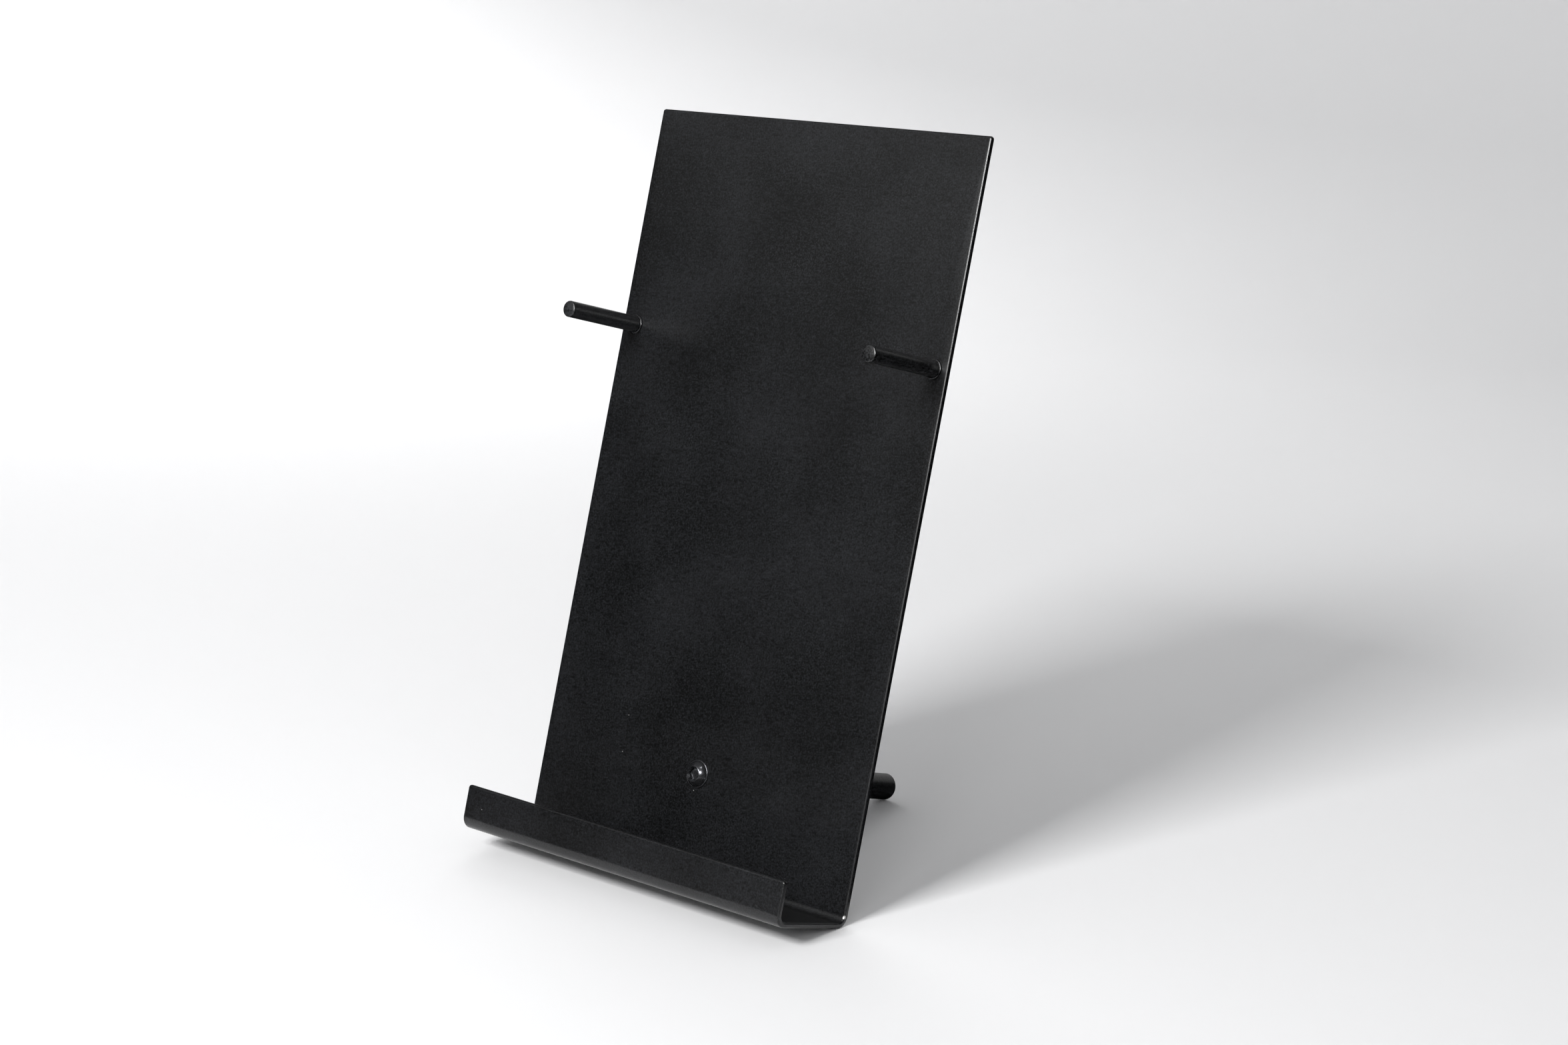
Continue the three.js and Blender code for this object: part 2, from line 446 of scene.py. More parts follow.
@dataclass(frozen=True)
class BlackOxide:
    """Glossy blackened steel with faint rings left by the lathe.

    Attributes:
        rings: About how many rings there are along the piece's whole outline.
        shade_swing: How far the mottle swings the colour, as a share of it.
    """

    name: str
    colour: tuple[float, float, float] = (0.06, 0.0615, 0.066)
    metallic: float = 0.85
    roughness: float = 0.26
    roughness_swing: float = 0.06
    ring_height: float = 0.5 * MICRON
    ring_detail: float = 2.0
    rings: float = 90.0
    mottle_size: float = 0.8 * MM
    mottle_detail: float = 3.0
    shade_swing: float = 0.5

    def build(self) -> bpy.types.Material:
        """Makes the material.

        Returns:
            A material that reads Object coordinates and the piece's own UV map.
        """
        made, bench = new_finish(self.name)
        coordinates = bench.add("ShaderNodeTexCoord")
        along = bench.split(coordinates.outputs["UV"])[1]
        turned = {"W": bench.calc("MULTIPLY", along, self.rings), "Scale": 1.0, "Detail": self.ring_detail}
        rings = bench.add("ShaderNodeTexNoise", turned, noise_dimensions="1D").outputs[0]
        mottle = bench.noise(coordinates.outputs["Object"], self.mottle_size, self.mottle_detail)
        shader = bench.add(
            "ShaderNodeBsdfPrincipled",
            {
                "Base Color": bench.scaled(self.colour, bench.swing(mottle, self.shade_swing, 1.0)),
                "Metallic": self.metallic,
                "Roughness": bench.swing(mottle, self.roughness_swing, self.roughness),
                "Normal": bench.bumped(rings, self.ring_height),
            },
        )
        bench.add("ShaderNodeOutputMaterial", {"Surface": shader.outputs[0]})
        return made


BAR_BLACK = (0.01, 0.0104, 0.0112)
BAR_PEEL = 1.2 * MM
WASHER_ROUGHNESS = 0.26


# The folded sheet


@dataclass(frozen=True)
class Hole:
    """A round hole in the flat blank: its centre, from the blank's middle and the lip's tip."""

    x: float
    y: float
    radius: float


@dataclass
class FoldedSheet:
    """The panel, tray and lip, folded from one flat blank.

    Attributes:
        leg_hole: The height of the leg's screw hole above the tray's underside, and its radius.
        pin_hole: The height of the pins' screw holes, and their radius.
        side_round: How far the side edges are rolled over.
        tip_round: How far the lip's tip and the panel's top are rolled over.
        rim_chamfer: The chamfer at the rims of the holes.
        worn_height: How far up the panel the spot painted as a highlight at the tray's corner is.
        cut_reach: How near to a bend's row a corner counts as on it.
    """

    placing: Matrix
    coat: bpy.types.Material
    width: float = 155 * MM
    height: float = 274 * MM
    thickness: float = 2 * MM
    tray_depth: float = 35 * MM
    lip_height: float = 16 * MM
    bend_radius: float = 4.5 * MM
    corner_radius: float = 1.0 * MM
    side_round: float = 0.7 * MM
    tip_round: float = 0.9 * MM
    rim_chamfer: float = 0.25 * MM
    leg_hole: tuple[float, float] = (37.6 * MM, 3.3 * MM)
    pin_hole: tuple[float, float] = (193 * MM, 1.8 * MM)
    pin_spacing: float = 142.6 * MM
    # Height of the bright steel spot that is painted in as a highlight.
    worn_height: float = 4 * MM
    cut_reach: float = 0.1 * MICRON
    bend_rows: int = 24
    corner_steps: int = 8
    round_steps: int = 6
    hole_sides: int = 48

    def build(self) -> bpy.types.Object:
        """Makes the blank, folds it and ties it to the frame.

        Returns:
            The finished sheet.
        """
        sizes = {
            "Panel Height": self.height,
            "Tray Depth": self.tray_depth,
            "Lip Height": self.lip_height,
            "Thickness": self.thickness,
            "Bend Radius": self.bend_radius,
            "Bend Steps": 2 * self.bend_rows,
            "Material": self.coat,
        }
        folded = self._fold_tree().run("folded_sheet", self._blank(), sizes)
        finish_piece(folded, self.placing, Body.PANEL, "back_panel")
        return folded

    @property
    def middle_radius(self) -> float:
        """The bends' radius to the middle of the sheet."""
        return self.bend_radius - self.thickness / 2

    @property
    def bend_length(self) -> float:
        """The length of the blank that one bend takes up."""
        return math.pi / 2 * self.middle_radius

    @property
    def bend_starts(self) -> tuple[float, float]:
        """How far from the lip's tip the lip's bend and the heel's bend start."""
        lip = self.lip_height - self.bend_radius
        tray = self.tray_depth + self.thickness - 2 * self.bend_radius
        return lip, lip + self.bend_length + tray

    @property
    def panel_start(self) -> float:
        """How far from the lip's tip the flat panel starts."""
        return self.bend_starts[1] + self.bend_length

    @property
    def blank_length(self) -> float:
        """The length of the blank, from the lip's tip to the panel's top."""
        return self.panel_start + self.height - self.bend_radius

    def _holes(self) -> list[Hole]:
        """Gives the blank's holes.

        Returns:
            The hole for the leg's screw and the two for the pins' screws.
        """
        base = self.panel_start - self.bend_radius
        leg_height, leg_radius = self.leg_hole
        pin_height, pin_radius = self.pin_hole
        pins = [Hole(side * self.pin_spacing / 2, base + pin_height, pin_radius) for side in (-1, 1)]
        return [Hole(0.0, base + leg_height, leg_radius), *pins]

    def _blank(self) -> bpy.types.Mesh:
        """Draws the flat blank, with its rolled edges, its holes and a row of cuts at each bend.

        Returns:
            A closed mesh, x across, y from the lip's tip and z through the sheet.
        """
        bm = bmesh.new()
        rims = [self._rolled_edge(bm)] + [self._hole_wall(bm, hole) for hole in self._holes()]
        for side in (0, 1):
            edges = [edge for rim in rims for edge in rim[side]]
            bmesh.ops.triangle_fill(bm, edges=edges, use_beauty=True, use_dissolve=False)
        for y in self._bend_lines():
            whole = bm.verts[:] + bm.edges[:] + bm.faces[:]
            bmesh.ops.bisect_plane(
                bm, geom=whole, plane_co=(0, y, 0), plane_no=(0, 1, 0), dist=self.cut_reach
            )
        bmesh.ops.recalc_face_normals(bm, faces=bm.faces[:])
        drawn = bpy.data.meshes.new("blank")
        bm.to_mesh(drawn)
        bm.free()
        return drawn

    def _bend_lines(self) -> list[float]:
        """Gives how far from the lip's tip each row of cuts lies that lets the blank bend."""
        steps = [self.bend_length * row / self.bend_rows for row in range(self.bend_rows + 1)]
        return [start + step for start in self.bend_starts for step in steps]

    def _rolled_edge(self, bm: bmesh.types.BMesh) -> tuple[list, list]:
        """Draws the blank's outer edge, rolled over from the underside to the top side.

        Args:
            bm: The mesh to draw in.

        Returns:
            The edges of the underside's rim and of the top side's rim.
        """
        half = self.width / 2 - self.corner_radius
        far = self.blank_length - self.corner_radius
        corners = [(half, far), (-half, far), (-half, self.corner_radius), (half, self.corner_radius)]
        points = []
        for turn, (x, y) in enumerate(corners):
            for step in range(self.corner_steps + 1):
                angle = math.pi / 2 * (turn + step / self.corner_steps)
                away = Vector((math.cos(angle), math.sin(angle), 0))
                roll = self.side_round * away.x**2 + self.tip_round * away.y**2
                points.append((Vector((x, y, 0)) + away * self.corner_radius, away, roll))
        rings = []
        for level, first in ((-1, -1), (1, 0)):
            for step in range(self.round_steps + 1):
                angle = math.pi / 2 * (first + step / self.round_steps)
                lift, tuck = math.sin(angle), 1 - math.cos(angle)
                ring = []
                for point, away, roll in points:
                    height = level * (self.thickness / 2 - roll) + roll * lift
                    ring.append(point - away * roll * tuck + Vector((0, 0, height)))
                rings.append(ring)
        return self._wall(bm, rings)

    def _hole_wall(self, bm: bmesh.types.BMesh, hole: Hole) -> tuple[list, list]:
        """Draws a hole's wall, with a small chamfer at both rims.

        Args:
            bm: The mesh to draw in.
            hole: The hole.

        Returns:
            The edges of the underside's rim and of the top side's rim.
        """
        face = self.thickness / 2
        flare = [(self.rim_chamfer, face), (0.0, face - self.rim_chamfer)]
        levels = [(out, -z) for out, z in flare] + [(out, z) for out, z in reversed(flare)]
        turns = [2 * math.pi * side / self.hole_sides for side in range(self.hole_sides)]
        rings = []
        for out, z in levels:
            centre = Vector((hole.x, hole.y, z))
            radius = hole.radius + out
            rings.append([centre + radius * Vector((math.cos(a), math.sin(a), 0)) for a in turns])
        return self._wall(bm, rings)

    def _wall(self, bm: bmesh.types.BMesh, rings: list[list[Vector]]) -> tuple[list, list]:
        """Joins closed rings of points into a wall.

        Args:
            bm: The mesh to draw in.
            rings: The rings, from the underside to the top side, all with as many points.

        Returns:
            The edges of the first ring and of the last.
        """
        made = [[bm.verts.new(point) for point in ring] for ring in rings]
        count = len(made[0])
        for low, high in zip(made, made[1:]):
            for i in range(count):
                j = (i + 1) % count
                bm.faces.new((low[i], low[j], high[j], high[i]))
        ends = []
        for ring in (made[0], made[-1]):
            ends.append([bm.edges.get((ring[i], ring[(i + 1) % count])) for i in range(count)])
        return tuple(ends)

    def _fold_tree(self) -> RuleTree:
        """Makes the rule that folds a flat blank along a bent path.

        Returns:
            The tree, whose path runs down the lip, back along the tray and up the panel.
        """
        names = ("Panel Height", "Tray Depth", "Lip Height", "Thickness", "Bend Radius")
        kinds = {**dict.fromkeys(names, "NodeSocketFloat"), "Bend Steps": "NodeSocketInt"}
        rule = RuleTree("fold_sheet", kinds)
        bench, given = rule.bench, rule.entry.outputs
        middle = bench.calc("DIVIDE", given["Thickness"], 2.0)
        front = bench.calc("SUBTRACT", middle, given["Tray Depth"])
        lip, top = given["Lip Height"], given["Panel Height"]
        stops = [(front, lip), (front, middle), (middle, middle), (middle, top)]
        line = bench.add("GeometryNodeMeshLine", {"Count": len(stops)})
        chosen = bench.add("GeometryNodeIndexSwitch", data_type="VECTOR")
        while len(chosen.index_switch_items) < len(stops):
            chosen.index_switch_items.new()
        bench.feed(chosen, "Index", bench.add("GeometryNodeInputIndex").outputs[0])
        for number, (y, z) in enumerate(stops):
            bench.feed(chosen, str(number), bench.point(0.0, y, z))
        placed = {"Geometry": line.outputs[0], "Position": chosen.outputs[0]}
        drawn = bench.add("GeometryNodeSetPosition", placed)
        path = bench.add("GeometryNodeMeshToCurve", {"Mesh": drawn.outputs[0]})
        rounded = {
            "Curve": path.outputs[0],
            "Count": given["Bend Steps"],
            "Radius": bench.calc("SUBTRACT", given["Bend Radius"], middle),
        }
        bent = bench.add("GeometryNodeFilletCurve", rounded, mode="POLY")
        x, y, z = bench.split(bench.add("GeometryNodeInputPosition").outputs[0])
        reading = {"Curves": bent.outputs[0], "Length": y}
        place = bench.add("GeometryNodeSampleCurve", reading, mode="LENGTH", use_all_curves=True)
        sides = {0: tuple(ROW_X), 1: place.outputs["Tangent"]}
        normal = bench.add("ShaderNodeVectorMath", sides, operation="CROSS_PRODUCT").outputs[0]
        steps = {0: place.outputs["Position"], 1: bench.scaled(normal, z)}
        moved = {
            "Geometry": given["Geometry"],
            "Position": bench.add("ShaderNodeVectorMath", steps, operation="ADD").outputs[0],
            "Offset": bench.point(x, 0.0, 0.0),
        }
        folded = bench.add("GeometryNodeSetPosition", moved)
        smooth = bench.add("GeometryNodeSetShadeSmooth", {"Geometry": folded.outputs[0]})
        rule.close(smooth.outputs[0])
        return rule


# Turned pieces


class Outline:
    """Half the section of a turned piece, as a line of points that give radius and height."""

    def __init__(self) -> None:
        """Starts with no points."""
        self.points: list[tuple[float, float, float, float]] = []

    def to(self, radius: float, height: float, thread: float = 0.0, socket: float = 0.0) -> "Outline":
        """Adds a point, with the share of the thread and of the hexagon that it carries."""
        self.points.append((radius, height, thread, socket))
        return self

    def line(self, radius: float, height: float, steps: int, thread: float = 0.0) -> "Outline":
        """Adds evenly spaced points on a straight line from the last one.

        Args:
            radius: Where the line ends.
            height: Where the line ends.
            steps: How many points to add.
            thread: The share of the thread that they carry.

        Returns:
            The outline, for the next stretch.
        """
        start = self.points[-1]
        for step in range(1, steps + 1):
            share = step / steps
            at = start[0] + (radius - start[0]) * share
            self.to(at, start[1] + (height - start[1]) * share, thread)
        return self

    def arc(
        self, centre: tuple[float, float], size: float, start: float, end: float, steps: int
    ) -> "Outline":
        """Adds points on an arc.

        Args:
            centre: The arc's centre, as radius and height.
            size: The arc's radius.
            start: The angle of the first point, in degrees from the outward direction.
            end: The angle of the last point.
            steps: How many steps there are between them.

        Returns:
            The outline, for the next stretch.
        """
        for step in range(steps + 1):
            angle = math.radians(start + (end - start) * step / steps)
            self.to(centre[0] + size * math.cos(angle), centre[1] + size * math.sin(angle))
        return self

    def drawn(self) -> bpy.types.Mesh:
        """Gives the outline as a mesh.

        Returns:
            A mesh of linked points, which carry their thread and hexagon shares.
        """
        mesh = bpy.data.meshes.new("outline")
        links = [(i, i + 1) for i in range(len(self.points) - 1)]
        mesh.from_pydata([(radius, 0.0, height) for radius, height, _, _ in self.points], links, [])
        _, _, threads, sockets = zip(*self.points)
        for name, shares in (("thread", threads), ("socket", sockets)):
            mesh.attributes.new(name, "FLOAT", "POINT").data.foreach_set("value", shares)
        return mesh


class Lathe:
    """Turns outlines into pieces, cutting threads and hexagon sockets as it goes.

    Attributes:
        sharp_angle: The fold past which an edge stays sharp.
        weld: How near to each other corners are joined, at the poles and along the seam.
        half_step: What keeps a whole number from being rounded down by one.
    """

    sharp_angle = math.radians(38)
    weld = 0.5 * MICRON
    half_step = 0.5

    def __init__(self) -> None:
        """Makes the lathe's rule once, for every turned piece."""
        kinds = {"Sides": "NodeSocketInt", "Pitch": "NodeSocketFloat", "Thread Depth": "NodeSocketFloat"}
        self.rule = RuleTree("turn_outline", kinds)
        bench, given = self.rule.bench, self.rule.entry.outputs
        rows = bench.add("GeometryNodeAttributeDomainSize", {"Geometry": given["Geometry"]}).outputs[0]
        sides = given["Sides"]
        counts = {"Vertices X": bench.calc("ADD", sides, 1.0), "Vertices Y": rows}
        grid = bench.add("GeometryNodeMeshGrid", counts)
        index = bench.add("GeometryNodeInputIndex").outputs[0]
        row = bench.calc("FLOORED_MODULO", index, rows)
        past = bench.calc("ADD", index, self.half_step)
        column = bench.calc("FLOOR", bench.calc("DIVIDE", past, rows))
        turn = bench.calc("DIVIDE", column, sides)
        angle = bench.calc("MULTIPLY", turn, 2 * math.pi)
        position = bench.add("GeometryNodeInputPosition").outputs[0]
        radius, _, height = bench.split(self._sampled(position, row, "FLOAT_VECTOR"))
        cut = self._thread(radius, height, turn, self._sampled(self._named("thread"), row, "FLOAT"))
        shaped = self._hexagon(cut, angle, self._sampled(self._named("socket"), row, "FLOAT"))
        x = bench.calc("MULTIPLY", shaped, bench.calc("COSINE", angle))
        y = bench.calc("MULTIPLY", shaped, bench.calc("SINE", angle))
        moved = {"Geometry": grid.outputs[0], "Position": bench.point(x, y, height)}
        placed = bench.add("GeometryNodeSetPosition", moved)
        unrolled = bench.point(turn, bench.calc("DIVIDE", row, rows), 0.0)
        stored = {"Geometry": placed.outputs[0], "Name": "UVMap", "Value": unrolled}
        marked = bench.add(
            "GeometryNodeStoreNamedAttribute", stored, data_type="FLOAT2", domain="CORNER"
        )
        joined = {"Geometry": marked.outputs[0], "Distance": self.weld}
        welded = bench.add("GeometryNodeMergeByDistance", joined)
        smooth = bench.add("GeometryNodeSetShadeSmooth", {"Geometry": welded.outputs[0]})
        fold = bench.add("GeometryNodeInputMeshEdgeAngle").outputs[0]
        sharp = bench.calc("GREATER_THAN", fold, self.sharp_angle)
        crease = {"Geometry": smooth.outputs[0], "Selection": sharp, "Shade Smooth": False}
        creased = bench.add("GeometryNodeSetShadeSmooth", crease, domain="EDGE")
        self.rule.close(creased.outputs[0])

    def _named(self, name: str) -> bpy.types.NodeSocket:
        """Reads one of the outline's own numbers."""
        kind = "GeometryNodeInputNamedAttribute"
        return self.rule.bench.add(kind, {"Name": name}, data_type="FLOAT").outputs[0]

    def _sampled(self, value: Feed, row: Feed, kind: str) -> bpy.types.NodeSocket:
        """Reads a value at the outline's point of each row."""
        feeds = {"Geometry": self.rule.entry.outputs["Geometry"], "Value": value, "Index": row}
        return self.rule.bench.add("GeometryNodeSampleIndex", feeds, data_type=kind).outputs[0]

    def _thread(self, radius: Feed, height: Feed, turn: Feed, share: Feed) -> bpy.types.NodeSocket:
        """Cuts a right-hand thread into the radius.

        Args:
            radius: The outline's radius, which is the thread's crest.
            height: The outline's height.
            turn: How far round the piece the point is, from 0 to 1.
            share: How much of the thread's depth is cut here.

        Returns:
            The radius that is left.
        """
        bench, given = self.rule.bench, self.rule.entry.outputs
        phase = bench.calc("SUBTRACT", bench.calc("DIVIDE", height, given["Pitch"]), turn)
        wave = bench.calc("COSINE", bench.calc("MULTIPLY", phase, 2 * math.pi))
        valley = bench.calc("MULTIPLY_ADD", wave, -0.5, 0.5)
        depth = bench.calc("MULTIPLY", bench.calc("MULTIPLY", valley, share), given["Thread Depth"])
        return bench.calc("SUBTRACT", radius, depth)

    def _hexagon(self, radius: Feed, angle: Feed, share: Feed) -> bpy.types.NodeSocket:
        """Draws the radius out to a hexagon's side, where the outline asks for one.

        Args:
            radius: Half the width across the hexagon's flats.
            angle: The angle round the axis.
            share: How far the section is a hexagon, from 0 to 1.

        Returns:
            The radius at that angle.
        """
        bench = self.rule.bench
        side = math.pi / 3
        off_flat = bench.calc("SUBTRACT", bench.calc("FLOORED_MODULO", angle, side), side / 2)
        stretch = bench.calc("DIVIDE", 1.0, bench.calc("COSINE", off_flat))
        factor = bench.calc("MULTIPLY_ADD", bench.calc("SUBTRACT", stretch, 1.0), share, 1.0)
        return bench.calc("MULTIPLY", radius, factor)

    def turn(
        self,
        name: str,
        outline: Outline,
        finish: bpy.types.Material,
        sides: int = 96,
        pitch: float = MM,
        thread_depth: float = 0.0,
    ) -> bpy.types.Object:
        """Turns one piece round +Z.

        Args:
            name: The piece's name.
            outline: Its outline, from pole to pole or closed on itself, with the solid on its left.
            finish: Its material.
            sides: How many sides it has round its axis.
            pitch: The thread's pitch.
            thread_depth: The thread's depth.

        Returns:
            The turned piece.
        """
        values = {"Sides": sides, "Pitch": pitch, "Thread Depth": thread_depth, "Material": finish}
        return self.rule.run(name, outline.drawn(), values)


@dataclass(frozen=True)
class Bar:
    """A round bar standing on z = 0, with a bore in its foot and a rounded far end.

    Attributes:
        end_round: The round at the rim of the far end.
        crown: How far the far end is domed.
        mouth: The chamfer at the bore's mouth, and the round at the foot's rim.
        row_length: The length of the rows of faces along the bar.
    """

    radius: float
    length: float
    end_round: float
    bore_radius: float
    bore_depth: float
    crown: float = 0.0
    mouth: float = 0.4 * MM
    row_length: float = 4 * MM
    round_steps: int = 7
    crown_steps: int = 5

    def outline(self) -> Outline:
        """Draws the bar's section, from the bottom of its bore, down, and up its outside.

        Returns:
            The outline.
        """
        drawn = Outline().to(0.0, self.bore_depth + self.bore_radius / 2)
        drawn.to(self.bore_radius, self.bore_depth).to(self.bore_radius, self.mouth)
        drawn.to(self.bore_radius + self.mouth, 0.0)
        drawn.arc((self.radius - self.mouth, self.mouth), self.mouth, -90, 0, self.round_steps)
        shoulder = self.length - self.end_round - self.crown
        drawn.line(self.radius, shoulder, round(self.length / self.row_length))
        inset = self.radius - self.end_round
        drawn.arc((inset, shoulder), self.end_round, 0, 90, self.round_steps)
        for step in range(1, self.crown_steps):
            share = step / self.crown_steps
            drawn.to(inset * (1 - share), self.length - self.crown * (1 - share) ** 2)
        return drawn.to(0.0, self.length)


@dataclass(frozen=True)
class Washer:
    """A thin ring with rounded edges, lying on z = 0."""

    radius: float = 3.6 * MM
    thickness: float = 0.7 * MM
    bore_radius: float = 1.8 * MM
    edge_round: float = 0.35 * MM
    round_steps: int = 6

    def outline(self) -> Outline:
        """Draws the ring's section, closed on itself.

        Returns:
            The outline.
        """
        inset = self.radius - self.edge_round
        drawn = Outline().to(self.bore_radius, 0.0)
        drawn.arc((inset, self.edge_round), self.edge_round, -90, 0, self.round_steps)
        drawn.arc((inset, self.thickness - self.edge_round), self.edge_round, 0, 90, self.round_steps)
        return drawn.to(self.bore_radius, self.thickness).to(self.bore_radius, 0.0)


@dataclass(frozen=True)
class ButtonScrew:
    """A button head screw with a hexagon socket, its head on z = 0 and its shank below.

    Attributes:
        socket: The hexagon's width across its flats.
        collar_share: The height of the head's collar, as a share of the head's height.
        dome_share: The radius of the dome's foot, as a share of the head's radius.
        top_share: The radius of the flat top, as a share of the head's radius.
        edge_share: The round at the collar's top, as a share of the head's radius.
        foot_share: The round at the collar's foot, as a share of the head's radius.
        chamfer_share: The width of the socket's chamfer, which is twice as deep, as a share of
            the socket's width.
        drill_share: The radius of the socket's drilled bottom, as a share of the flats' radius.
        drill_point: The depth of the drill's point, as a share of the flats' radius.
        neck: The length of the plain neck under the head, in pitches.
    """

    radius: float
    length: float
    pitch: float
    head_radius: float
    head_height: float
    socket: float
    socket_depth: float
    sides: int
    collar_share: float = 0.2
    dome_share: float = 0.91
    top_share: float = 0.54
    edge_share: float = 0.08
    foot_share: float = 0.02
    chamfer_share: float = 0.09
    drill_share: float = 0.9
    drill_point: float = 0.4
    neck: float = 0.9
    rows_per_turn: int = 12
    depth_per_pitch: float = 0.6
    dome_steps: int = 12
    edge_steps: int = 4

    @property
    def thread_depth(self) -> float:
        """The depth of the thread, which is also the chamfer at the shank's end."""
        return self.depth_per_pitch * self.pitch

    def outline(self) -> Outline:
        """Draws the screw's section, from the shank's end to the bottom of the socket.

        Returns:
            The outline.
        """
        point = self.thread_depth
        edge = self.edge_share * self.head_radius
        foot = self.foot_share * self.head_radius
        drawn = Outline().to(0.0, -self.length).to(self.radius - point, -self.length)
        drawn.to(self.radius, point - self.length, thread=1.0)
        turns = (self.length - point) / self.pitch - self.neck
        drawn.line(self.radius, -self.neck * self.pitch, round(turns * self.rows_per_turn), thread=1.0)
        drawn.to(self.radius, -self.neck * self.pitch / 2).to(self.radius, 0.0)
        drawn.arc((self.head_radius - foot, foot), foot, -90, 0, self.edge_steps)
        collar = self.collar_share * self.head_height
        drawn.arc((self.head_radius - edge, collar - edge), edge, 0, 90, self.edge_steps)
        self._dome(drawn, collar)
        self._socket(drawn)
        return drawn

    def _dome(self, drawn: Outline, collar: float) -> None:
        """Draws the round of the head, part of a ball between the collar and the flat top.

        Args:
            drawn: The outline so far.
            collar: The height of the collar.
        """
        foot, top = self.dome_share * self.head_radius, self.top_share * self.head_radius
        run = foot**2 - top**2 + collar**2 - self.head_height**2
        centre = run / (2 * (collar - self.head_height))
        ball = math.hypot(foot, collar - centre)
        low = math.degrees(math.atan2(collar - centre, foot))
        high = math.degrees(math.atan2(self.head_height - centre, top))
        drawn.arc((0.0, centre), ball, low, high, self.dome_steps)

    def _socket(self, drawn: Outline) -> None:
        """Draws the chamfered mouth, the six flats and the drilled bottom of the socket.

        Args:
            drawn: The outline so far.
        """
        flat = self.socket / 2
        chamfer = self.chamfer_share * self.socket
        mouth = flat / math.cos(math.pi / 6) + chamfer
        floor = self.head_height - self.socket_depth
        drawn.to(mouth, self.head_height)
        drawn.to(flat, self.head_height - 2 * chamfer, socket=1.0)
        drawn.to(flat, floor, socket=1.0)
        drawn.to(self.drill_share * flat, floor).to(0.0, floor - self.drill_point * flat)


@dataclass
class Fixings:
    """The bars, washers and screws that stand on the folded sheet.

    Attributes:
        finishes: The material and the slot of each kind of shape.
        sheet: The sheet's thickness.
        pin_tip: How far a pin's tip stands out of the panel's front.
    """

    stance: Stance
    lathe: Lathe
    finishes: dict[type, tuple[bpy.types.Material, Slot]]
    sheet: float = FoldedSheet.thickness
    washer: Washer = Washer()
    pin_tip: float = 35.8 * MM
    pin: Bar = Bar(
        radius=3 * MM,
        length=35.1 * MM,
        end_round=0.6 * MM,
        bore_radius=1.8 * MM,
        bore_depth=9.5 * MM,
        crown=0.2 * MM,
    )
    leg: Bar = Bar(
        radius=5 * MM,
        length=107.05 * MM,
        end_round=0.7 * MM,
        bore_radius=3.3 * MM,
        bore_depth=16 * MM,
    )
    leg_screw: ButtonScrew = ButtonScrew(
        radius=3 * MM,
        length=16.25 * MM,
        pitch=1.0 * MM,
        head_radius=5.15 * MM,
        head_height=2.6 * MM,
        socket=4 * MM,
        socket_depth=1.7 * MM,
        sides=96,
    )
    pin_screw: ButtonScrew = ButtonScrew(
        radius=1.5 * MM,
        length=10.25 * MM,
        pitch=0.5 * MM,
        head_radius=2.8 * MM,
        head_height=1.75 * MM,
        socket=2 * MM,
        socket_depth=1.0 * MM,
        sides=60,
    )

    def build(self) -> list[bpy.types.Object]:
        """Makes every turned piece and ties it to the frame.

        Returns:
            The pieces.
        """
        leg = self.stance.leg
        made = [
            self._stand("prop_leg", self.leg, self._behind(leg), Body.LEG, "rear_leg"),
            self._stand("leg_socket_screw", self.leg_screw, leg, Body.LEG_FIXING, "leg_screw"),
        ]
        bodies = {
            "left": (Body.PIN_LEFT, Body.PIN_LEFT_FIXING),
            "right": (Body.PIN_RIGHT, Body.PIN_RIGHT_FIXING),
        }
        for side, (pin_body, screw_body) in bodies.items():
            name, node, seat = f"{side}_page_pin", f"{side}_pin", self.stance.pins[side]
            foot = seat.shifted(self.pin_tip - self.pin.length)
            behind = self._behind(seat)
            made.append(self._stand(name, self.pin, foot, pin_body, node))
            made.append(self._stand(f"{name}_washer", self.washer, seat, Body.PANEL, f"{node}_washer"))
            made.append(self._stand(f"{name}_screw", self.pin_screw, behind, screw_body, f"{node}_screw"))
        return made

    def _behind(self, seat: Seat) -> Seat:
        """Gives the seat on the panel's back that faces away from one on its front."""
        return seat.shifted(-self.sheet).turned()

    def _stand(
        self, name: str, shape: Bar | Washer | ButtonScrew, seat: Seat, body: Body, node: str
    ) -> bpy.types.Object:
        """Turns one piece and stands it on the sheet.

        Args:
            name: The piece's name.
            shape: What is turned.
            seat: Where it stands.
            body: The body that it moves with.
            node: The frame's node that it stands for.

        Returns:
            The piece.
        """
        finish, slot = self.finishes[type(shape)]
        threaded = {}
        if isinstance(shape, ButtonScrew):
            threaded = dict(sides=shape.sides, pitch=shape.pitch, thread_depth=shape.thread_depth)
        piece = self.lathe.turn(name, shape.outline(), finish, **threaded)
        finish_piece(piece, seat.placing(), body, node)
        return piece


# The studio

STAND_MIDDLE = (0.0, 0.0, 0.13)


